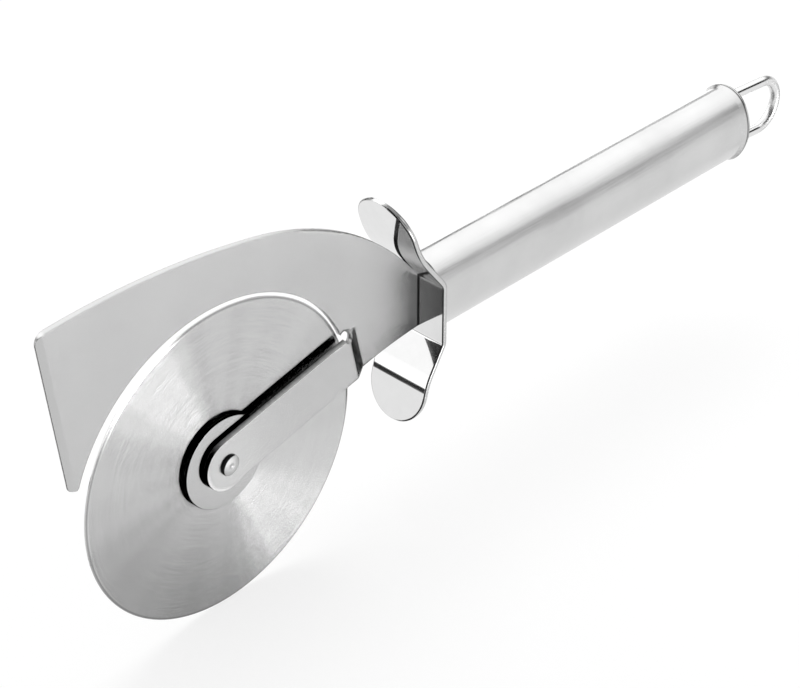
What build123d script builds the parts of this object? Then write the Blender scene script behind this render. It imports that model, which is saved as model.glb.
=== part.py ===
"""Pizza wheel: a round blade that turns on a riveted axle beside a stamped server plate.

The origin is the centre of the blade. +X runs back along the handle, +Z is up,
and -Y is the side where the arm of the server plate lies over the blade.
"""

import os
from math import atan2, cos, degrees, radians, sin, sqrt, tan

from build123d import *

os.makedirs("parts", exist_ok=True)

# Driving dimensions: lengths in millimetres, angles in degrees

# Blade
wheel_diameter = 90.0
wheel_thickness = 1.2
bevel_width = 1.5
cutting_edge = 0.2

# Axle rivet and its two thrust washers
journal_diameter = 6.0
tenon_diameter = 4.0
rear_head_diameter = 12.0
rear_head_height = 1.8
rear_head_rim = 0.5
peened_head_diameter = 5.9
peened_head_height = 0.95
peened_head_rim = 0.45
dimple_diameter = 1.8
dimple_depth = 0.3
washer_diameter = 26.6
washer_thickness = 0.8
washer_chamfer = 0.15

# Clearances
running_clearance = 0.05
side_clearance = 0.05
fit_clearance = 0.05

# Server plate: stamped sheet with the server edge, the cut-out round the blade and the neck
sheet_thickness = 1.5
wheel_gap = 2.6
cutout_shift = 1.6
cutout_drop = 0.8
tip_height = 16.0
tip_radius = 1.0
tip_flat = 0.3
front_lean = 7.2
server_rise = 16.6
corner_radius = 3.0
server_bevel = 1.7
server_edge = 0.35
shoulder_setback = 14.7
shoulder_rise = 12.8
shoulder_radius = 92.5
neck_length = 25.3
neck_top_run = 3.6
neck_bottom_inset = 1.55

# Joggled arm of the server plate, which carries the axle
arm_angle = 12.7
arm_eye_radius = 7.5
arm_undercut = 0.7
eye_blend_radius = 8.0
joggle_gap = 1.1
joggle_run = 3.95
joggle_bend_radius = 2.0
relief_radius = 1.3

# Tang of the server plate inside the handle
tang_height = 10.0
tang_length = 27.0

# Finger guard: a flat middle and two wings that slope forward and curve back towards upright
handle_rise = 16.6
guard_width = 20.0
guard_thickness = 1.5
guard_flat_above = 6.75
guard_flat_below = 11.4
upper_slope_angle = 37.6
lower_slope_angle = 31.5
upper_slope_length = 15.0
lower_slope_length = 11.8
upper_wing_angle = 19.2
lower_wing_angle = 14.4
upper_reach = 35.2
lower_reach = 35.6
upper_bend_radius = 3.0
lower_bend_radius = 2.0
upper_curve_radius = 31.0
lower_curve_radius = 18.4
guard_edge_radius = 0.5

# Oval handle tube with a flared rear mouth
tube_height = 23.0
tube_width = 17.3
tube_flank_radius = 15.3
tube_wall = 0.8
tube_length = 131.3
flare_length = 1.8
flare_rise = 0.9
flare_edge_radius = 0.3

# Plug and cross pin that hold the tang in the tube
plug_length = 30.0
pin_diameter = 4.0
pin_setback = 14.0
pin_set_in = 0.2

# End cap and hanging loop
cap_inset = 0.3
cap_rim = 0.3
cap_edge_radius = 1.0
cap_skirt = 7.0
cap_wall = 0.8
wire_diameter = 3.2
loop_spacing = 15.9
loop_reach = 27.0
loop_lean = 4.0
leg_depth = 2.0

# Levels and places worked out from the driving dimensions
wheel_radius = wheel_diameter / 2
bore_radius = journal_diameter / 2 + running_clearance
washer_level = wheel_thickness / 2 + side_clearance
arm_back = washer_level + washer_thickness
arm_front = arm_back + sheet_thickness

cutout_radius = wheel_radius + wheel_gap
cutout_top = cutout_radius - cutout_drop
guard_face = cutout_radius - cutout_shift + neck_length
guard_back = guard_face + guard_thickness
joggle_start = wheel_radius + joggle_gap
joggle_end = joggle_start + joggle_run
arm_below = arm_eye_radius - arm_undercut
tip_width = 2 * tip_radius + tip_flat
upper_bend = (guard_face, handle_rise + guard_flat_above)
lower_bend = (guard_face, handle_rise - guard_flat_below)
lower_bend_inset = lower_bend_radius * tan(radians(lower_slope_angle / 2))
neck_bottom = lower_bend[1] + lower_bend_inset + neck_bottom_inset

tang_end = guard_face + tang_length
pin_x = guard_back + pin_setback
tube_end = guard_back + tube_length
plug_rise = -tube_wall - fit_clearance
cap_thickness = cap_rim + cap_edge_radius


def on_arm(along, across):
    """Point of the XZ plane, measured along the arm from the axle and across it upwards."""
    turn = radians(arm_angle)
    return (along * cos(turn) - across * sin(turn), along * sin(turn) + across * cos(turn))


def leaned(start, length, lean, upward):
    """Point at a length from start, leaning forward from the vertical, up or down."""
    turn = radians(lean)
    return (start[0] - length * sin(turn), start[1] + upward * length * cos(turn))


def oval(rise):
    """Section of the tube, grown evenly by a rise: two flank arcs and two end arcs that meet smoothly."""
    flank_centre = tube_flank_radius - tube_width / 2
    end_drop = tube_flank_radius - tube_height / 2
    end_centre = (flank_centre**2 - end_drop**2) / (2 * end_drop)
    end_radius = tube_height / 2 - end_centre
    turn = degrees(atan2(end_centre, flank_centre))
    with BuildSketch() as section:
        with BuildLine():
            CenterArc((-flank_centre, 0), tube_flank_radius + rise, -turn, 2 * turn)
            CenterArc((0, end_centre), end_radius + rise, turn, 180 - 2 * turn)
            CenterArc((flank_centre, 0), tube_flank_radius + rise, 180 - turn, 2 * turn)
            CenterArc((0, -end_centre), end_radius + rise, 180 + turn, 180 - 2 * turn)
        make_face()
    return section.sketch


# Cutting wheel: thin disc with a ground bevel on both sides of its rim
with BuildPart() as cutting_wheel:
    with BuildSketch(Plane.XY):
        with BuildLine():
            Polyline(
                (bore_radius, -wheel_thickness / 2),
                (wheel_radius - bevel_width, -wheel_thickness / 2),
                (wheel_radius, -cutting_edge / 2),
                (wheel_radius, cutting_edge / 2),
                (wheel_radius - bevel_width, wheel_thickness / 2),
                (bore_radius, wheel_thickness / 2),
                close=True,
            )
        make_face()
    revolve(axis=Axis.Y)
cutting_wheel.part.label = "cutting_wheel"
export_step(cutting_wheel.part, "parts/cutting_wheel.step")

# Thrust washers: one against the arm, one under the rivet's rear head
for washer_name, washer_start in (("front_washer", washer_level), ("rear_washer", -arm_back)):
    with BuildPart() as washer:
        with BuildSketch(Plane.XZ.offset(washer_start)):
            Circle(washer_diameter / 2)
            Circle(bore_radius, mode=Mode.SUBTRACT)
        extrude(amount=washer_thickness)
        chamfer(washer.edges().group_by(SortBy.LENGTH)[-1], washer_chamfer)
    washer.part.label = washer_name
    export_step(washer.part, f"parts/{washer_name}.step")

# Axle rivet: domed rear head, journal for the wheel, tenon through the arm and peened front head
with BuildPart() as axle_rivet:
    with BuildSketch(Plane.XY):
        with BuildLine():
            rear_rim = (rear_head_diameter / 2, arm_back + rear_head_rim)
            peen_rim = (peened_head_diameter / 2, -arm_front - peened_head_rim)
            peen_top = -arm_front - peened_head_height
            dome = TangentArc((0, arm_back + rear_head_height), rear_rim, tangent=(1, 0))
            shank = Polyline(
                dome @ 1,
                (rear_head_diameter / 2, arm_back),
                (journal_diameter / 2, arm_back),
                (journal_diameter / 2, -arm_back),
                (tenon_diameter / 2, -arm_back),
                (tenon_diameter / 2, -arm_front),
                (peened_head_diameter / 2, -arm_front),
                peen_rim,
            )
            crown = TangentArc((dimple_diameter / 2, peen_top), shank @ 1, tangent=(1, 0))
            Polyline(crown @ 0, (0, peen_top + dimple_depth), dome @ 0)
        make_face()
    revolve(axis=Axis.Y)
axle_rivet.part.label = "axle_rivet"
export_step(axle_rivet.part, "parts/axle_rivet.step")

# Arm of the server plate: a strip folded into a joggle, trimmed to the outline of the arm
arm_section = Plane(
    origin=(0, 0, 0),
    x_dir=(cos(radians(arm_angle)), 0, sin(radians(arm_angle))),
    z_dir=(-sin(radians(arm_angle)), 0, cos(radians(arm_angle))),
)
with BuildPart() as arm:
    with BuildSketch(arm_section):
        with BuildLine():
            FilletPolyline(
                (-joggle_start, -arm_front),
                (joggle_start, -arm_front),
                (joggle_end, -sheet_thickness / 2),
                (joggle_end + joggle_start, -sheet_thickness / 2),
                radius=joggle_bend_radius,
            )
            offset(amount=sheet_thickness, side=Side.LEFT)
        make_face()
    extrude(amount=joggle_start, both=True)
    with BuildSketch(Plane.XZ) as arm_outline:
        with BuildLine():
            Polyline(
                on_arm(0, arm_eye_radius),
                on_arm(joggle_end, arm_eye_radius),
                on_arm(joggle_end, -arm_below),
                on_arm(0, -arm_below),
                close=True,
            )
        make_face()
        Circle(arm_eye_radius)
        eye_corner = on_arm(sqrt(arm_eye_radius**2 - arm_below**2), -arm_below)
        fillet(arm_outline.vertices().sort_by_distance((*eye_corner, 0))[0], eye_blend_radius)
        Circle(tenon_diameter / 2 + fit_clearance, mode=Mode.SUBTRACT)
    extrude(amount=2 * arm_front, both=True, mode=Mode.INTERSECT)

# Server plate: server edge, cut-out, neck and tang in one sheet, with the arm folded out of it
with BuildPart() as server_plate:
    tip_back = -cutout_shift - sqrt(cutout_radius**2 - (tip_height + cutout_drop) ** 2)
    tip = (tip_back - tip_width, tip_height)
    corner_height = cutout_top + server_rise
    corner = (tip[0] - (corner_height - tip_height) * tan(radians(front_lean)), corner_height)
    with BuildSketch(Plane.XZ) as plate_outline:
        with BuildLine():
            shoulder = RadiusArc(
                leaned(upper_bend, neck_top_run, upper_slope_angle, 1),
                (shoulder_setback, cutout_top + shoulder_rise),
                -shoulder_radius,
            )
            crown = TangentArc(shoulder @ 1, corner, tangent=shoulder % 1)
            under = Polyline(
                crown @ 1,
                tip,
                (0, tip_height),
                on_arm(0, arm_eye_radius),
                on_arm(joggle_end, arm_eye_radius),
                on_arm(joggle_end, -arm_below),
            )
            neck = TangentArc(under @ 1, (guard_face, neck_bottom), tangent=on_arm(1, 0))
            Polyline(
                neck @ 1,
                (guard_face, handle_rise - tang_height / 2),
                (tang_end, handle_rise - tang_height / 2),
                (tang_end, handle_rise + tang_height / 2),
                (guard_face, handle_rise + tang_height / 2),
                upper_bend,
                shoulder @ 0,
            )
        make_face()
        with Locations((-cutout_shift, -cutout_drop)):
            Circle(cutout_radius, mode=Mode.SUBTRACT)
        with Locations((pin_x, handle_rise)):
            Circle(pin_diameter / 2 + fit_clearance, mode=Mode.SUBTRACT)
        fillet(plate_outline.vertices().sort_by_distance((*corner, 0))[0], corner_radius)
        fillet(plate_outline.vertices().sort_by_distance((*tip, 0))[0:2], tip_radius)
        fillet(plate_outline.vertices().sort_by_distance((*upper_bend, 0))[0], upper_bend_radius)
    extrude(amount=sheet_thickness / 2, both=True)
    add(arm.part)
    with BuildSketch(Plane.XZ):
        with Locations(on_arm(joggle_start, arm_eye_radius)):
            Circle(relief_radius)
    extrude(amount=2 * arm_front, both=True, mode=Mode.SUBTRACT)
    edge_start = Vector(tip[0], 0, tip[1])
    edge_run = Vector(corner[0], 0, corner[1]) - edge_start
    bevel_plane = Plane(origin=edge_start, x_dir=(0, -1, 0), z_dir=edge_run)
    with BuildSketch(bevel_plane):
        with BuildLine():
            Polyline(
                (server_edge - sheet_thickness / 2, 0),
                (sheet_thickness / 2, server_bevel),
                (sheet_thickness / 2, 0),
                close=True,
            )
        make_face()
    extrude(amount=edge_run.length, both=True, mode=Mode.SUBTRACT)
server_plate.part.label = "server_plate"
export_step(server_plate.part, "parts/server_plate.step")

# Finger guard: one bent strip with round ends and a slot for the tang
with BuildPart() as finger_guard:
    upper_knee = leaned(upper_bend, upper_slope_length, upper_slope_angle, 1)
    lower_knee = leaned(lower_bend, lower_slope_length, lower_slope_angle, -1)
    with BuildSketch(Plane.XZ):
        with BuildLine():
            FilletPolyline(
                leaned(upper_knee, upper_reach, upper_wing_angle, 1),
                upper_knee,
                upper_bend,
                lower_bend,
                lower_knee,
                leaned(lower_knee, lower_reach, lower_wing_angle, -1),
                radius=[upper_curve_radius, upper_bend_radius, lower_bend_radius, lower_curve_radius],
            )
            offset(amount=guard_thickness, side=Side.LEFT)
        make_face()
    extrude(amount=guard_width, both=True)
    with BuildSketch(Plane.YZ):
        with Locations((0, handle_rise + (upper_reach - lower_reach) / 2)):
            SlotOverall(upper_reach + lower_reach, guard_width, rotation=90)
    extrude(amount=guard_back + guard_thickness, mode=Mode.INTERSECT)
    fillet(finger_guard.edges(), guard_edge_radius)
    with BuildSketch(Plane.YZ.offset(guard_face)):
        with Locations((0, handle_rise)):
            Rectangle(sheet_thickness + 2 * fit_clearance, tang_height + 2 * fit_clearance)
    extrude(amount=guard_thickness, both=True, mode=Mode.SUBTRACT)
finger_guard.part.label = "finger_guard"
export_step(finger_guard.part, "parts/finger_guard.step")

# Handle tube: oval tube that seats on the guard and flares out at its rear mouth
with BuildPart() as handle_tube:
    flare_start = tube_end - flare_length
    handle_axis = (0, handle_rise)
    with BuildSketch(Plane.YZ.offset(guard_back)):
        with Locations(handle_axis):
            add(oval(0))
    extrude(amount=tube_length - flare_length)
    for rise, level in ((0, flare_start), (flare_rise, tube_end)):
        with BuildSketch(Plane.YZ.offset(level)):
            with Locations(handle_axis):
                add(oval(rise))
    loft(ruled=True)
    fillet(handle_tube.edges().group_by(Axis.X)[-1], flare_edge_radius)
    with BuildSketch(Plane.YZ.offset(guard_back)):
        with Locations(handle_axis):
            add(oval(-tube_wall))
    extrude(amount=tube_length, mode=Mode.SUBTRACT)
handle_tube.part.label = "handle_tube"
export_step(handle_tube.part, "parts/handle_tube.step")

# Tang plug: slotted plug that fills the tube's front mouth round the tang
with BuildPart() as tang_plug:
    with BuildSketch(Plane.YZ.offset(guard_back)):
        with Locations((0, handle_rise)):
            add(oval(plug_rise))
            Rectangle(
                sheet_thickness + 2 * fit_clearance,
                tang_height + 2 * fit_clearance,
                mode=Mode.SUBTRACT,
            )
    extrude(amount=plug_length)
    with BuildSketch(Plane.XZ):
        with Locations((pin_x, handle_rise)):
            Circle(pin_diameter / 2 + fit_clearance)
    extrude(amount=tube_width, both=True, mode=Mode.SUBTRACT)
tang_plug.part.label = "tang_plug"
export_step(tang_plug.part, "parts/tang_plug.step")

# Tang pin: cross pin through plug and tang, closed in by the tube
with BuildPart() as tang_pin:
    with BuildSketch(Plane.XZ):
        with Locations((pin_x, handle_rise)):
            Circle(pin_diameter / 2)
    extrude(amount=tube_width / 2 + plug_rise - pin_set_in, both=True)
tang_pin.part.label = "tang_pin"
export_step(tang_pin.part, "parts/tang_pin.step")

# End cap: shallow drawn cap whose skirt goes into the tube's rear mouth
loop_plane = Plane(
    origin=(tube_end, 0, handle_rise),
    x_dir=(cos(radians(loop_lean)), 0, -sin(radians(loop_lean))),
    z_dir=(0, -1, 0),
)
with BuildPart() as end_cap:
    with BuildSketch(Plane.YZ.offset(tube_end)):
        with Locations((0, handle_rise)):
            add(oval(flare_rise - cap_inset))
    extrude(amount=cap_thickness)
    fillet(end_cap.edges().group_by(Axis.X)[-1], cap_edge_radius)
    with BuildSketch(Plane.YZ.offset(tube_end - cap_skirt)):
        with Locations((0, handle_rise)):
            add(oval(plug_rise))
            add(oval(plug_rise - cap_wall), mode=Mode.SUBTRACT)
    extrude(amount=cap_skirt)
    with BuildSketch(Plane(origin=loop_plane.origin, x_dir=(0, 1, 0), z_dir=loop_plane.x_dir)):
        with Locations((0, loop_spacing / 2), (0, -loop_spacing / 2)):
            Circle(wire_diameter / 2 + fit_clearance)
    extrude(amount=leg_depth + cap_thickness, both=True, mode=Mode.SUBTRACT)
end_cap.part.label = "end_cap"
export_step(end_cap.part, "parts/end_cap.step")

# Hanging loop: bent wire whose legs go through the end cap
with BuildPart() as hanging_loop:
    nose_centre = loop_reach - (loop_spacing + wire_diameter) / 2
    with BuildLine(loop_plane) as wire_path:
        upper_leg = Line((-leg_depth, loop_spacing / 2), (nose_centre, loop_spacing / 2))
        nose = CenterArc((nose_centre, 0), loop_spacing / 2, 90, -180)
        lower_leg = Line((nose_centre, -loop_spacing / 2), (-leg_depth, -loop_spacing / 2))
    with BuildSketch(Plane(origin=wire_path.line @ 0, z_dir=wire_path.line % 0)):
        Circle(wire_diameter / 2)
    sweep()
hanging_loop.part.label = "hanging_loop"
export_step(hanging_loop.part, "parts/hanging_loop.step")
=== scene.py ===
# %% [markdown]
# # A pizza wheel in stainless steel
# The object is a round blade on a rivet, a stamped server plate, a polished finger guard and
# a tube with a hanging loop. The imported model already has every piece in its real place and
# size, so new meshes could only copy it. This lesson keeps its shapes and gives them what the
# photograph shows: brushed, satin and polished steel, and the studio that the steel mirrors.

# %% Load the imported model
from math import cos, radians, sin

import bmesh
import bpy
from mathutils import Matrix, Vector


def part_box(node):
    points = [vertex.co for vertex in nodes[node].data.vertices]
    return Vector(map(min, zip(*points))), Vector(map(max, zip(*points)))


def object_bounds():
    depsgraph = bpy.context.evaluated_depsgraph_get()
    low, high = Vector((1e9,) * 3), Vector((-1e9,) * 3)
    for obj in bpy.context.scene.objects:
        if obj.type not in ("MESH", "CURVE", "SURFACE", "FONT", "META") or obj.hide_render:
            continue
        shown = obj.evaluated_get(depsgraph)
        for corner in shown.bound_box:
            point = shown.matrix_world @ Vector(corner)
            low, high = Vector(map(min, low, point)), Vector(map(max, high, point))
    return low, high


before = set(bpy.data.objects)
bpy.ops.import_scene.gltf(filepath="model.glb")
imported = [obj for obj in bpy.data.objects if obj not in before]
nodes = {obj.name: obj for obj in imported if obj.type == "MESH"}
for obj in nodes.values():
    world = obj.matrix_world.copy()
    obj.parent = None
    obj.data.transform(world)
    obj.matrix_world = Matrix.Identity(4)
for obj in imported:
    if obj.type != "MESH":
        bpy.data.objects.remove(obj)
cad_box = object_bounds()
print("pieces:", ", ".join(sorted(nodes)))

# %% [markdown]
# ## The camera
# The camera was fitted to the photograph: the rim of the blade, the handle's edges and the
# guard's tips fix where it stood. A short lens close by could frame the object too, but only
# a long lens from some 63 cm away keeps the handle's edges almost parallel.

# %% Camera
camera_data = bpy.data.cameras.new("camera")
camera_data.sensor_width = 36.0
camera_data.lens = 112.5
camera = bpy.data.objects.new("camera", camera_data)
camera.location = (-0.33535, -0.38523, 0.37812)
camera.rotation_euler = (radians(56.0433), radians(-0.0933), radians(-46.0454))
bpy.context.scene.collection.objects.link(camera)
bpy.context.scene.camera = camera
print("camera", [round(value, 3) for value in camera.location])

# %% [markdown]
# ## A small language for finishes
# A steel finish is mostly arithmetic: how far a point is from the axle, how deep a scratch
# is. Nodes could be added and linked one by one, but a sum is easier to read as a sum. Wire
# wraps one socket, so that arithmetic on wires adds the Math nodes, and Finish adds every
# other node through one method.


# %% Wires
class Wire:
    """A value that flows through a node tree; arithmetic on it adds Math nodes."""

    def __init__(self, finish, socket):
        self.finish = finish
        self.socket = socket

    def of(self, name):
        """Another output of the same node."""
        return Wire(self.finish, self.socket.node.outputs[name])

    def maths(self, operation, first, second=0.0):
        return self.finish.node("ShaderNodeMath", {"operation": operation}, {0: first, 1: second})

    def __add__(self, other):
        return self.maths("ADD", self, other)

    def __sub__(self, other):
        return self.maths("SUBTRACT", self, other)

    def __rsub__(self, other):
        return self.maths("SUBTRACT", other, self)

    def __mul__(self, other):
        return self.maths("MULTIPLY", self, other)

    def __truediv__(self, other):
        return self.maths("DIVIDE", self, other)

    def __pow__(self, other):
        return self.maths("POWER", self, other)

    def __abs__(self):
        return self.maths("ABSOLUTE", self)

    __radd__ = __add__
    __rmul__ = __mul__


# %% Finishes
class Finish:
    """A node tree that is filled through one method."""

    def __init__(self, tree):
        self.tree = tree
        tree.nodes.clear()

    def node(self, kind, settings=None, sockets=None, out=0):
        """Adds a node, sets it, feeds its sockets, and returns one of its outputs, if it has any."""
        made = self.tree.nodes.new(kind)
        for name, value in (settings or {}).items():
            setattr(made, name, value)
        for name, value in (sockets or {}).items():
            if isinstance(value, Wire):
                self.tree.links.new(value.socket, made.inputs[name])
            else:
                made.inputs[name].default_value = value
        return Wire(self, made.outputs[out]) if made.outputs else made

    def place(self):
        """The point on the piece, in metres in the model's own frame."""
        return self.node("ShaderNodeTexCoord", None, None, "Object")

    def geometry(self, out):
        """A fact about the point that is hit, such as its Normal."""
        return self.node("ShaderNodeNewGeometry", None, None, out)

    def vector(self, operation, first, second=(0.0, 0.0, 0.0), out=0):
        return self.node("ShaderNodeVectorMath", {"operation": operation}, {0: first, 1: second}, out)

    def along(self, vector, direction):
        """How far a vector reaches in a direction."""
        return self.vector("DOT_PRODUCT", vector, direction, "Value")

    def joined(self, x, y, z):
        return self.node("ShaderNodeCombineXYZ", None, {0: x, 1: y, 2: z})

    def parts(self, vector):
        """The three numbers of a vector, by of("X"), of("Y") and of("Z")."""
        return self.node("ShaderNodeSeparateXYZ", None, {0: vector})

    def tilted(self, normal, direction, slope):
        """A normal that leans in a direction by a slope."""
        lean = self.node("ShaderNodeVectorMath", {"operation": "SCALE"}, {0: direction, "Scale": slope})
        return self.vector("NORMALIZE", self.vector("ADD", normal, lean))

    def ramp(self, value, low, high, to_low=0.0, to_high=1.0):
        """Smooth step of a value between two levels."""
        levels = {"Value": value, "From Min": low, "From Max": high, "To Min": to_low, "To Max": to_high}
        return self.node("ShaderNodeMapRange", {"interpolation_type": "SMOOTHSTEP"}, levels)

    def below(self, value, low, high):
        """1 below two levels and 0 above them."""
        return self.ramp(value, low, high, 1.0, 0.0)

    def band(self, value, start, full, fade, end):
        """1 between full and fade, 0 before start and after end."""
        return self.ramp(value, start, full) * self.below(value, fade, end)

    def noise(self, vector, scale, detail=0.0):
        """Cloudy noise from about 0.2 to 0.8, with its middle at 0.5."""
        sockets = {"Vector": vector, "Scale": scale, "Detail": detail, "Roughness": 0.6}
        return self.node("ShaderNodeTexNoise", None, sockets)

    def grain(self, vector, per_metre, detail=0.0):
        """Noise that is finer along some axes than along others."""
        return self.noise(self.vector("MULTIPLY", vector, per_metre), 1.0, detail)

    def mix(self, factor, low, high):
        """Blend of two colours."""
        return self.node("ShaderNodeMix", {"data_type": "RGBA"}, {"Factor": factor, 6: low, 7: high}, 2)

    def glow(self, level):
        """Cloth that shines by itself, where a level of 1 is white."""
        return self.node("ShaderNodeEmission", None, {"Color": level, "Strength": 1.0})

    def layered(self, share, low, high):
        """Blend of two shaders."""
        return self.node("ShaderNodeMixShader", None, {0: share, 1: low, 2: high})

    def cover(self, shader):
        """Makes a shader the surface of the material."""
        self.node("ShaderNodeOutputMaterial", None, {"Surface": shader})


# %% [markdown]
# ## Raw stock
# Every metal here starts as a Principled shader with Metallic at 1. One grey would do for a
# stand-in, but no real steel is the same grey all over, so each finish further down blends
# two greys by a noise of its own.


# %% Raw stock
def grey(level):
    return (level, level, level, 1.0)


def blank(name):
    """A material with an empty node tree."""
    material = bpy.data.materials.new(name)
    material.use_nodes = True
    return material, Finish(material.node_tree)


def stock(name, metallic=1.0):
    """A material, its finish and its Principled shader; it is steel unless told otherwise."""
    material, finish = blank(name)
    shader = finish.node("ShaderNodeBsdfPrincipled", None, {"Metallic": metallic})
    finish.cover(shader)
    return material, finish, shader.socket.node


def feed(finish, shader, **wires):
    """Links wires to the shader's sockets; an underscore in a name stands for a space."""
    for name, wire in wires.items():
        finish.tree.links.new(wire.socket, shader.inputs[name.replace("_", " ")])


def dress(material, *names):
    """Gives CAD pieces a finish."""
    for name in names:
        nodes[name].data.materials[0] = material
    print(material.name, "on", ", ".join(names))


# %% [markdown]
# ## The studio
# The photograph has a pure white ground and steel that mirrors a bright room with dark
# places in it. A picture of a room could be wrapped round the scene, but every place in it
# would be fixed. Here the floor is a pale sheet that keeps the shadow, and what the steel
# mirrors is a tent of cloth round the object, which is painted by rule, place by place.


# %% Stage pieces
def stage_piece(name, shape, material):
    """A mesh that belongs to the studio and not to the object."""
    mesh = bpy.data.meshes.new(name)
    shape.to_mesh(mesh)
    shape.free()
    mesh.materials.append(material)
    piece = bpy.data.objects.new(name, mesh)
    bpy.context.scene.collection.objects.link(piece)
    print(name, "with", len(mesh.polygons), "faces")
    return piece


def only_in_mirrors(piece):
    """Leaves a stage piece to be seen by the steel alone."""
    piece.visible_camera = False
    piece.visible_diffuse = False
    piece.visible_shadow = False
    piece.visible_transmission = False


def seen_directly(finish):
    """1 where the camera or a mirror looks, and 0 where light only bounces."""
    path = finish.node("ShaderNodeLightPath")
    return path.of("Is Camera Ray") + path.of("Is Glossy Ray") + path.of("Is Transmission Ray")


# %% Floor
floor_level = cad_box[0].z
floor_reach = 3.0
shadow_share = 0.25
floor_material, finish = blank("pale_floor")
sheet = finish.node("ShaderNodeBsdfDiffuse", None, {"Color": grey(0.9)})
white = finish.glow(grey(1.0))
finish.cover(finish.layered(seen_directly(finish) * (1.0 - shadow_share), sheet, white))
shape = bmesh.new()
bmesh.ops.create_circle(shape, cap_ends=True, segments=96, radius=floor_reach)
bmesh.ops.translate(shape, verts=shape.verts, vec=(0.0, 0.0, floor_level))
floor = stage_piece("floor", shape, floor_material)
floor.visible_glossy = False

# %% [markdown]
# The tent is one large sphere that glows. A place on it is known by its direction from the
# object, so each patch of cloth is a smooth step on a direction. First come the pale walls,
# which fade upwards, and the lit ceiling.

# %% Tent walls and ceiling
ceiling_edge = (0.45, 0.50)
wall_light = 0.95
wall_fade = 0.36
ceiling_gain = 0.5
tent_material, finish = blank("tent_cloth")
way = finish.vector("NORMALIZE", finish.place())
rise = finish.parts(way).of("Z")


def towards(direction):
    """How nearly a point of the tent lies in a direction, from -1 to 1."""
    return finish.along(way, Vector(direction).normalized())


wall = wall_light - finish.ramp(rise, -0.05, 0.44, 0.0, wall_fade)
ceiling = 1.0 + finish.ramp(towards((0.25, 0.6, 0.76)), 0.0, 0.9, 0.0, ceiling_gain)
overhead = finish.ramp(rise, *ceiling_edge)
level = wall + overhead * (ceiling - wall)
print("walls and ceiling with", len(finish.tree.nodes), "nodes")

# %% [markdown]
# Steel looks like steel because it mirrors dark places beside bright ones. The side where
# the photographer stands is dark. Behind the object a dark horizon climbs from left to
# right, with lit cloth round it. The guard's lower wing mirrors it as a line, and the tube as
# its dark upper edge. Black paint on the pieces could draw such lines, but they would not
# move with the view.

# %% Dark camera side
darkest = 0.97
below_lights = finish.below(rise, 0.78, 0.84)
camera_side = finish.ramp(towards((-0.2, -0.72, 0.66)), 0.70, 0.78)
level = level * (1.0 - camera_side * below_lights * darkest)
print("camera side added,", len(finish.tree.nodes), "nodes")

# %% Horizon behind the object
horizon_climb = 0.13
horizon_blur = 0.03
left_gain = 0.5
right_light = 1.45
behind = finish.ramp(towards((0.0, 1.0, 0.0)), 0.2, 0.5)
sideways = towards((1.0, 0.0, 0.0))
rightward = finish.ramp(sideways, -0.3, 0.3)
above_line = rise + horizon_climb - rightward * (2.0 * horizon_climb)
half_band = 0.035 + rightward * 0.04
horizon = behind * finish.below(abs(above_line), half_band, half_band + horizon_blur)
horizon_depth = darkest - rightward * finish.ramp(sideways, 0.62, 0.72, 0.0, 0.3)
lit_left = behind * (1.0 - rightward) * finish.ramp(above_line, 0.0, 0.05)
lit_right = behind * rightward * (1.0 - overhead) * finish.ramp(rise, -0.62, -0.5)
level = level + lit_left * left_gain + lit_right * (right_light - level)
level = level * (1.0 - horizon * horizon_depth)
print("horizon added,", len(finish.tree.nodes), "nodes")

# %% [markdown]
# Three round dark corners follow. The far left one shows in the fold of the joggle, the low
# left one on the guard's lower wing and along the plate's end, and the low right one, which
# is small, in the bend of the loop.

# %% Dark corners
dark_corners = {
    "far left": ((-0.92, 0.0, 0.40), 0.87, 0.93, darkest),
    "low left": ((-0.66, 0.0, -0.75), 0.84, 0.90, darkest),
    "low right": ((0.87, -0.18, -0.46), 0.975, 0.990, 0.9),
}
for corner, (direction, painted_rim_shade, core, depth) in dark_corners.items():
    level = level * (1.0 - finish.ramp(towards(direction), painted_rim_shade, core) * depth)
print("dark corners:", ", ".join(dark_corners))

# %% [markdown]
# On the right a dark gap runs under the ceiling's edge. The tube mirrors it as its long soft
# line and the loop's legs as their streaks. Towards the handle's end the ceiling sags and
# the gap grows wider, so that the line on the tube sinks and spreads as in the photograph.

# %% Gap under the sagging ceiling
in_front = 1.0 - behind
far_right = finish.ramp(sideways, 0.745, 0.760)
sag = finish.band(sideways, 0.62, 0.72, 0.725, 0.745) * in_front
sagging = (1.0 - overhead) * finish.ramp(rise + sag * 0.19, *ceiling_edge)
level = level + sagging * (ceiling - level)
gap_rise = rise + sag * 0.15
gap_foot = finish.ramp(gap_rise, 0.20 - far_right * 0.08 - sag * 0.30, 0.32 - far_right * 0.14)
gap_top = 0.33 + far_right * 0.11
gap = gap_foot * finish.below(gap_rise, gap_top, gap_top + 0.04) * rightward * in_front
on_tube = finish.ramp(sideways, 0.62, 0.66, 0.0, 0.42) - finish.ramp(sideways, 0.68, 0.72, 0.0, 0.14)
on_loop = far_right * 0.69
level = level * (1.0 - gap * (on_tube + on_loop))
print("gap added,", len(finish.tree.nodes), "nodes")

# %% [markdown]
# The bright fans on the blade are one window, seen again and again in the ring scratches. It
# is measured by its swing from the place that a flat blade mirrors, and by its bearing to
# one side. A scratch swings the mirror image straight away from that place, so a window
# that is a wedge gives the fans clear, straight sides. A square one would blur them.

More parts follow.
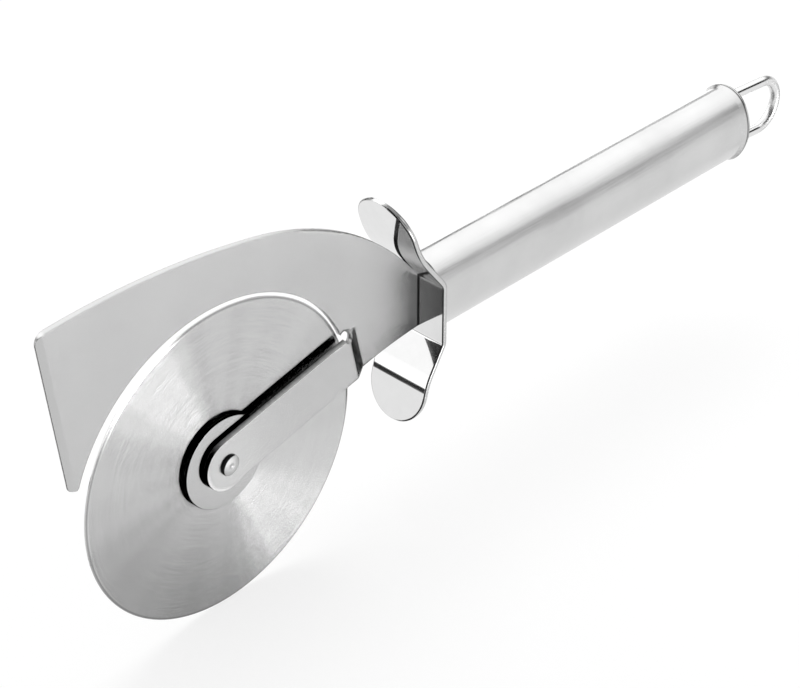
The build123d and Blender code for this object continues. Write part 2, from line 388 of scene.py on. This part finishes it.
# %% Window in front of the blade
flat_mirror = Vector((0.528, -0.607, -0.596))
window_place = Vector((0.191, -0.981, -0.036))
window_light = 5.2
window_side = window_place.cross(flat_mirror).normalized()
ahead = towards(flat_mirror)
swing = ahead.maths("ARCTAN2", towards(flat_mirror.cross(window_side)), ahead)
bearing = towards(window_side) / swing
window = finish.band(swing, 0.24, 0.34, 0.75, 0.85) * finish.band(bearing, -0.50, -0.08, 0.145, 0.226)
level = level + window * window_light
print("window added,", len(finish.tree.nodes), "nodes")

# %% Tent
tent_reach = 4.0
finish.cover(finish.glow(level))
tent_material.cycles.emission_sampling = "NONE"
shape = bmesh.new()
bmesh.ops.create_icosphere(shape, subdivisions=5, radius=tent_reach)
only_in_mirrors(stage_piece("tent", shape, tent_material))

# %% [markdown]
# The blade stands on the floor, so its lower half mirrors the soft shadow under it. The
# floor itself is left out of the mirror, because its shadow is too weak there, and a small
# round sheet of shadow takes its place.

# %% Shadow under the blade
shadow_centre = Vector((-0.008, -0.002, floor_level))
shadow_reach = 0.067
shadow_depth = 0.57
shadow_material, finish = blank("blade_shadow")
apart = finish.vector("DISTANCE", finish.place(), shadow_centre, "Value")
dark = finish.glow(grey(0.01))
clear = finish.node("ShaderNodeBsdfTransparent")
finish.cover(finish.layered(finish.ramp(apart, 0.0, shadow_reach, shadow_depth, 0.0), clear, dark))
shadow_material.cycles.emission_sampling = "NONE"
shape = bmesh.new()
bmesh.ops.create_circle(shape, cap_ends=True, segments=64, radius=shadow_reach)
bmesh.ops.translate(shape, verts=shape.verts, vec=shadow_centre)
only_in_mirrors(stage_piece("blade_shadow", shape, shadow_material))

# %% [markdown]
# In the photograph the mirror image of every wall round the hub is black. Paint could give
# that, but it would turn with the blade, so two narrow black hoods stand there instead. They
# are painted shade: black sheets that stand for the shade in the gaps between the walls and
# the blade. Each climbs a wall and leans out from its front edge to the blade, along the line
# of sight after its reflection, and the steel alone sees it.

# %% Black hoods of painted shade beside the hub
arm_turn = radians(12.7)
arm_way = Vector((cos(arm_turn), 0.0, sin(arm_turn)))
blade_face = 0.00062
hood_foot = 0.0008
hood_slant = Vector((-0.87, 1.0, 0.98))
hood_steps = 48
# Painted shade: the hoods are black cloth that gives no light.
shade_hood_material, finish = blank("painted_shade_hood")
finish.cover(finish.glow(grey(0.0)))


def hub_hood(name, radius, top, first, last, straight=0.0):
    """A strip that climbs an arc round the axle and a straight run along the arm, then leans out."""
    angles = [first + (last - first) * step / hood_steps for step in range(hood_steps + 1)]
    line = [Vector((radius * cos(angle), -blade_face, radius * sin(angle))) for angle in angles]
    if straight:
        line.append(line[-1] + arm_way * straight)
    shape = bmesh.new()
    corners = [shape.verts.new(point) for point in line]
    edges = [shape.edges.new(pair) for pair in zip(corners, corners[1:])]
    for climb in (Vector((0.0, blade_face - top, 0.0)), hood_slant * (top - hood_foot)):
        grown = bmesh.ops.extrude_edge_only(shape, edges=edges)["geom"]
        ends = [item for item in grown if isinstance(item, bmesh.types.BMVert)]
        edges = [item for item in grown if isinstance(item, bmesh.types.BMEdge)]
        edges = [edge for edge in edges if edge.verts[0] in ends and edge.verts[1] in ends]
        bmesh.ops.translate(shape, verts=ends, vec=climb)
    only_in_mirrors(stage_piece(name, shape, shade_hood_material))


hub_hood("washer_hood", 0.01334, 0.0025, radians(227.0), radians(47.0))
hub_hood("arm_hood", 0.00754, 0.0031, radians(222.0), radians(90.0) + arm_turn, 0.0442)

# %% [markdown]
# The guard and the plate's neck mirror each other, and in the photograph that mirror image
# is dark. A dark side of the tent would do it, but it would blacken most of the object when
# seen from the handle's end. So a grey flag stands before the neck, paler at its top and
# black along the edge that the joggle mirrors. Its back is clear, so the blade never sees it.

# %% Grey flag before the neck
flag_place = Vector((0.0455, -0.0315, 0.02))
flag_height = 0.14
flag_width = 0.056
flag_material, finish = blank("grey_flag")
parts = finish.parts(finish.place())
paler = finish.ramp(parts.of("Z"), 0.02, 0.06, 0.21, 1.0)
past_edge = finish.below(parts.of("Y"), -0.016, -0.012)
clear = finish.node("ShaderNodeBsdfTransparent")
finish.cover(finish.layered(finish.geometry("Backfacing"), finish.glow(paler * past_edge), clear))
flag_material.cycles.emission_sampling = "NONE"
upright = Matrix.Translation(flag_place) @ Matrix.Rotation(radians(90.0), 4, "Y")
stretch = Matrix.Diagonal((flag_height, flag_width, 1.0, 1.0))
shape = bmesh.new()
bmesh.ops.create_grid(shape, x_segments=1, y_segments=1, size=0.5, matrix=upright @ stretch)
only_in_mirrors(stage_piece("neck_flag", shape, flag_material))

# %% [markdown]
# The light itself is plain: a dim even sky, which is white where it is seen, and one soft
# lamp above. More lamps would put more shadows on the floor than the photograph has.

# %% World
sky_level = 0.7
world = bpy.data.worlds.new("world")
world.use_nodes = True
bpy.context.scene.world = world
finish = Finish(world.node_tree)
sky_seen = sky_level + seen_directly(finish) * (1.0 - sky_level)
sky = finish.node("ShaderNodeBackground", None, {"Color": sky_seen, "Strength": 1.0})
finish.node("ShaderNodeOutputWorld", None, {"Surface": sky})
print("sky at", sky_level)

# %% Lamp over the floor
lamp_place = Vector((0.55, 0.35, 1.15))
lamp_target = Vector((0.08, 0.0, 0.0))
lamp_radiance = 3.4
lamp_data = bpy.data.lights.new("top_softbox", "AREA")
lamp_data.shape = "RECTANGLE"
lamp_data.size = 1.0
lamp_data.size_y = 0.8
lamp_data.energy = 4.0 * lamp_data.size * lamp_data.size_y * lamp_radiance
lamp = bpy.data.objects.new("top_softbox", lamp_data)
lamp.location = lamp_place
lamp.rotation_euler = (lamp_target - lamp_place).to_track_quat("-Z", "Y").to_euler()
lamp.visible_camera = False
lamp.visible_glossy = False
bpy.context.scene.collection.objects.link(lamp)
bpy.context.scene.view_settings.view_transform = "Standard"
print("lamp of", round(lamp_data.energy, 1), "watts")

# %% [markdown]
# ## The blade
# The blade is ground while it turns, so its scratches are rings round the axle. A ring
# scratch tilts the surface towards the axle or away from it and never along the ring. That
# is what makes the two bright fans. A bump map would blur such fine rings, so the finish
# tilts the normal itself, along the radius, by a noise that changes quickly with the radius.
# Most of the face is nearly flat and a few scratches are deep, so the slope is a cubic of
# the noise.

# %% Ring scratches
blade_material, finish, shader = stock("ring_brushed_steel")
spot = finish.place()
parts = finish.parts(spot)
radius = (parts.of("X") ** 2.0 + parts.of("Z") ** 2.0) ** 0.5
outward = finish.vector("NORMALIZE", finish.joined(parts.of("X"), 0.0, parts.of("Z")))
turn = finish.parts(outward)


def rings(per_metre, arcs, detail=0.0):
    """Noise that changes quickly with the radius and slowly round the axle."""
    around = finish.joined(turn.of("X") * arcs, radius * per_metre, turn.of("Z") * arcs)
    return finish.noise(around, 1.0, detail)


noise_spread = 0.1244
shallow, uneven, deep = 0.04, 0.025, 0.077
scratch = (rings(250000.0, 3.0) - 0.5) / noise_spread
streak = rings(2600.0, 2.0, 2.0) - 0.5
slope = scratch * (shallow - scratch * uneven + scratch * scratch * deep) + streak * 0.025
print("ring scratches with", len(finish.tree.nodes), "nodes")

# %% [markdown]
# The rim is ground to a bevel. In the photograph only its outer part stands out, as if use
# had worn the rest into the face, and the base colour draws a darker line near the rim. A
# narrower bevel in the mesh would change the CAD shape, so the finish takes the lean of the
# worn part out of the normal.

# %% Blade finish
wheel_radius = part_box("cutting_wheel")[1].x
worn_limit = [wheel_radius - inset for inset in (0.0011, 0.0009)]
# The base colour draws a darker line in this ring near the rim.
dark_line_ring = [wheel_radius - inset for inset in (0.0008, 0.0005, 0.0003, 0.0001)]
dark_line_share = 0.4
ring_way = {"vector_type": "VECTOR", "convert_from": "OBJECT", "convert_to": "WORLD"}
outward = finish.node("ShaderNodeVectorTransform", ring_way, {0: outward})
surface = finish.geometry("Normal")
worn_lean = finish.along(surface, outward) * finish.below(radius, *worn_limit)
smears = finish.noise(spot, 55.0, 3.0)
ringed = finish.mix(rings(900.0, 1.5, 3.0), grey(0.585), grey(0.63))
feed(
    finish,
    shader,
    Base_Color=finish.mix(finish.band(radius, *dark_line_ring) * dark_line_share, ringed, grey(0.05)),
    Roughness=0.12 + smears * 0.06 + streak * 0.1,
    Normal=finish.tilted(surface, outward, slope - worn_lean),
)
dress(blade_material, "cutting_wheel")

# %% [markdown]
# ## Satin sheet
# The server plate and the washers are stamped from sheet with a fine satin face. A punch
# shears their walls with a slight draft, so the normal of a wall leans to the front. Tumbling
# rounds every edge a little. A bevel in the mesh would change the CAD shape, so the Bevel
# node gives that rounding to the normal alone.


# %% Satin sheet
def facing_front(finish):
    """How nearly a face looks to the front or the back, from 0 to 1."""
    return abs(finish.parts(finish.geometry("True Normal")).of("Y"))


def tumbled(finish, radius, samples=6):
    """A normal that rounds every edge by a radius."""
    return finish.node("ShaderNodeBevel", {"samples": samples}, {"Radius": radius})


def satin(name, wall_shade, brushing, edges):
    """Stamped sheet with the given edges; the wall shade paints its sheared walls dark, as painted shade."""
    draft = 0.16
    material, finish, shader = stock(name)
    spot = finish.place()
    facing = facing_front(finish)
    sheared = finish.below(facing, 0.55, 0.8)
    normal = finish.tilted(edges(finish, spot), (0.0, -1.0, 0.0), sheared * draft)
    strokes = finish.grain(spot, (250000.0, 250000.0, 40000.0)) - 0.5
    normal = finish.tilted(normal, (1.0, 0.0, 0.0), strokes * finish.ramp(facing, 0.93, 0.98, 0.0, brushing))
    fibres = finish.grain(spot, (4000.0, 9000.0, 14000.0), 1.0) - 0.5
    feed(finish, shader, Normal=finish.tilted(normal, (0.0, 0.0, 1.0), fibres * 0.12))
    clouds = finish.noise(spot, 38.0, 4.0)
    bright = finish.mix(clouds, grey(0.53), grey(0.585))
    wires = {"facing": facing, "sheared": sheared}
    wires["rough"] = 0.18 + clouds * 0.06 + fibres * 0.1 + sheared * 0.04
    # Sheared walls are painted dark by the wall shade: painted shade.
    wires["sheet"] = finish.mix(sheared * wall_shade, bright, grey(0.05))
    return material, finish, shader, spot, wires


# %% Washers
def washer_edges(finish, spot):
    return tumbled(finish, 0.0001)


# Painted shade: the washers' walls, which sit in the narrow gaps of the hub, are painted nearly black.
washer_material, finish, shader, spot, wires = satin("stamped_washer", 0.85, 0.0, washer_edges)
feed(finish, shader, Base_Color=wires["sheet"], Roughness=wires["rough"])
dress(washer_material, "front_washer", "rear_washer", "tang_pin")

# %% [markdown]
# The plate has places of its own. The die that pressed the joggle left softer edges there
# and polished its fold. The wall of the neck and the seam at the guard are painted dark, as
# painted shade. The punch tore the arm's wall, so that wall is matte and not a mirror, and
# its back, towards the blade, is painted darker as shade. The arm is paler towards its eye,
# with a painted highlight along the eye's lower left edge. Separate meshes for these would
# only copy the plate, so masks on its own coordinates mark them.

# %% Server plate edges
joggle = (0.040, 0.042, 0.0515, 0.0535)


def plate_edges(finish, spot):
    """Edges of the plate, with the die's softer radius at the joggle."""
    at_joggle = finish.band(finish.along(spot, arm_way), *joggle)
    sockets = {"Factor": at_joggle, 4: tumbled(finish, 0.0003), 5: tumbled(finish, 0.001)}
    return finish.node("ShaderNodeMix", {"data_type": "VECTOR"}, sockets, 1)


plate_material, finish, shader, spot, wires = satin("satin_plate", 0.0, 1.0, plate_edges)
print("satin plate with", len(finish.tree.nodes), "nodes")

# %% Places on the plate
sheared = wires["sheared"]
parts = finish.parts(spot)
along = finish.along(spot, arm_way)
across = finish.along(spot, (-arm_way.z, 0.0, arm_way.x))
neck_wall = sheared * finish.ramp(parts.of("X"), 0.028, 0.046) * finish.ramp(parts.of("Z"), 0.018, 0.024)
seam = finish.ramp(parts.of("X"), 0.0706, 0.0711)
# Painted shade: the neck's wall and the seam at the guard are painted dark.
painted_dark = 1.0 - (1.0 - neck_wall * 0.9) * (1.0 - seam * 0.95)
arm_wall = sheared * finish.band(along, -0.004, 0.004, 0.0455, 0.0465)
arm_wall = arm_wall * finish.below(abs(across), 0.0080, 0.0086)
pressed = finish.below(wires["facing"], 0.97, 0.99) * (1.0 - sheared) * finish.band(along, *joggle)
print("joggle from", joggle[0], "to", joggle[-1])

# %% Server plate finish
off_axle = (along * along + across * across) ** 0.5
below_left = finish.along(spot, (-0.75, 0.0, -0.66))
# Painted highlight: a bright band on the lower left edge of the arm's eye.
painted_eye_highlight = finish.band(off_axle, 0.0062, 0.0074, 0.0077, 0.0080) * finish.ramp(below_left, 0.003, 0.0065)
pale = finish.ramp(along, -0.004, 0.026, 0.25, 0.0) * finish.below(off_axle, 0.030, 0.034)
face = finish.mix(painted_dark, finish.mix(pale + painted_eye_highlight * 0.6, wires["sheet"], grey(0.95)), grey(0.01))
torn = finish.grain(spot, (900.0, 500.0, 900.0), 2.0) - 0.5
# Torn grain on the arm's wall, with painted shade that darkens the wall towards the blade.
torn_and_shaded_wall = finish.mix(finish.ramp(parts.of("Y"), -0.0029, -0.0015) + torn, grey(0.7), grey(0.25))
feed(
    finish,
    shader,
    Base_Color=finish.mix(arm_wall, face, torn_and_shaded_wall),
    Roughness=wires["rough"] - pressed * 0.12,
    Metallic=1.0 - arm_wall * 0.9,
)
dress(plate_material, "server_plate")

# %% [markdown]
# ## Polished strip and wire
# The guard and the hanging loop are polished, so they mirror their neighbours. A perfect
# mirror would look like glass. A slow noise bends the guard's mirror a little, as on real
# bent strip, and a quick one gives the fine skin that polishing leaves. The wire is drawn
# through a die, so its faint scratches run along it, its bend is duller than its legs, and
# the Bevel node keeps its girth smooth.


# %% Polished strip
def bump(finish, height, strength):
    """A normal that follows a height in metres."""
    return finish.node("ShaderNodeBump", None, {"Strength": strength, "Distance": 1.0, "Height": height})


strip_material, finish, shader = stock("polished_strip")
spot = finish.place()
waves = finish.noise(spot, 120.0, 1.0)
skin = finish.noise(spot, 1500.0, 2.0)
smears = finish.noise(spot, 260.0, 3.0)
facing = facing_front(finish)
edge = finish.ramp(facing, 0.5, 0.9)
# Painted shade: dark lines along the rounded edges between the strip's faces and its cut edges.
painted_edge_shade = finish.band(facing, 0.1, 0.3, 0.6, 0.8)
shine = finish.mix(smears, grey(0.77), grey(0.84))
feed(
    finish,
    shader,
    Base_Color=finish.mix(painted_edge_shade * 0.8, finish.mix(edge, shine, grey(0.6)), grey(0.03)),
    Roughness=0.03 + smears * 0.06 + edge * 0.15,
    Normal=bump(finish, waves * 0.0004 + skin * 0.000006, 0.06),
)
dress(strip_material, "finger_guard")

# %% Polished wire
bend_start, bend_full = 0.219, 0.225
wire_material, finish, shader = stock("polished_wire")
spot = finish.place()
drawn = finish.grain(spot, (300.0, 900.0, 900.0), 2.0)
bent = finish.ramp(finish.parts(spot).of("X"), bend_start, bend_full)
feed(
    finish,
    shader,
    Base_Color=finish.mix(drawn, grey(0.76), grey(0.84)),
    Roughness=0.08 + drawn * 0.06 + bent * 0.22,
    Normal=tumbled(finish, 0.0005, 8),
)
dress(wire_material, "hanging_loop")

# %% [markdown]
# ## Peened rivet
# The rivet's small head is hammered over the arm, which leaves a bright but dull skin with
# shallow dents. A dark crescent is painted on the head's upper left side, as painted shade.
# Its rear head comes polished from the maker. One material serves both, with the depth of a
# point to tell them apart.

# %% Peened rivet
crescent_centre = (0.0006, 0.0, -0.00045)
crescent_radius = (0.0029, 0.0031)
rivet_material, finish, shader = stock("peened_steel")
spot = finish.place()
hammered = finish.below(finish.parts(spot).of("Y"), -0.0030, -0.0026)
dents = finish.noise(spot, 1800.0, 2.0)
seen_flat = finish.vector("MULTIPLY", spot, (1.0, 0.0, 1.0))
off_centre = finish.vector("DISTANCE", seen_flat, crescent_centre, "Value")
# Painted shade: a dark crescent on the upper left of the hammered head.
painted_crescent_shade = hammered * finish.ramp(off_centre, *crescent_radius)
feed(
    finish,
    shader,
    Base_Color=finish.mix(painted_crescent_shade, finish.mix(dents, grey(0.52), grey(0.62)), grey(0.01)),
    Roughness=0.14 + hammered * (0.25 + dents * 0.2),
    Normal=bump(finish, hammered * dents * 0.0002, 0.25),
)
dress(rivet_material, "axle_rivet")

# %% [markdown]
# ## Handle tube
# The tube is brushed along its length, so its scratches tilt the surface round the girth
# and never along it. The same trick as on the blade serves, with the girth for the radius.
# The flare at the mouth is so short that its brushing hides most of its slope, so the
# normal there is squashed along the tube, up to the rim.

# %% Brushed tube
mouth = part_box("handle_tube")[1].x
mouth_rim = [mouth + step for step in (-0.0007, -0.0003, 0.0, 0.0002)]
tube_material, finish, shader = stock("brushed_tube")
spot = finish.place()
back = finish.parts(spot).of("X")
squash = finish.ramp(back, mouth - 0.0001, mouth + 0.0001, 0.15, 1.0)
surface = finish.vector("MULTIPLY", finish.geometry("Normal"), finish.joined(squash, 1.0, 1.0))
surface = finish.vector("NORMALIZE", surface)
girth = finish.vector("NORMALIZE", finish.vector("CROSS_PRODUCT", surface, (1.0, 0.0, 0.0)))
brushing = finish.grain(spot, (60.0, 20000.0, 20000.0), 1.0) - 0.5
bands = finish.grain(spot, (12.0, 900.0, 900.0), 2.0) - 0.5
clouds = finish.noise(spot, 45.0, 3.0)
# Painted shade: a dark line round the rim of the mouth, where the lip meets the cap.
painted_rim_shade = finish.band(back, *mouth_rim)
feed(
    finish,
    shader,
    Base_Color=finish.mix(painted_rim_shade * 0.8, finish.mix(clouds, grey(0.56), grey(0.72)), grey(0.05)),
    Roughness=0.12 + clouds * 0.06,
    Normal=finish.tilted(surface, girth, brushing * 0.4 + bands * 0.05),
)
dress(tube_material, "handle_tube", "end_cap")

# %% [markdown]
# ## Plug
# The plug inside the tube's front mouth is moulded nylon. It is hidden and could stay plain,
# but a part that is taken apart shows it, so it gets its speckled finish too.

# %% Moulded plug
plug_material, finish, shader = stock("moulded_nylon", 0.0)
specks = finish.noise(finish.place(), 900.0, 2.0)
feed(
    finish,
    shader,
    Base_Color=finish.mix(specks, grey(0.10), grey(0.15)),
    Roughness=0.4 + specks * 0.2,
    Normal=bump(finish, specks * 0.0002, 0.1),
)
dress(plug_material, "tang_plug")

# %% [markdown]
# ## Size
# Blender must not change the object's size, so the box of the CAD model is printed.

# %% Size and finish
print("CAD size", [round(high - low, 4) for low, high in zip(*cad_box)])
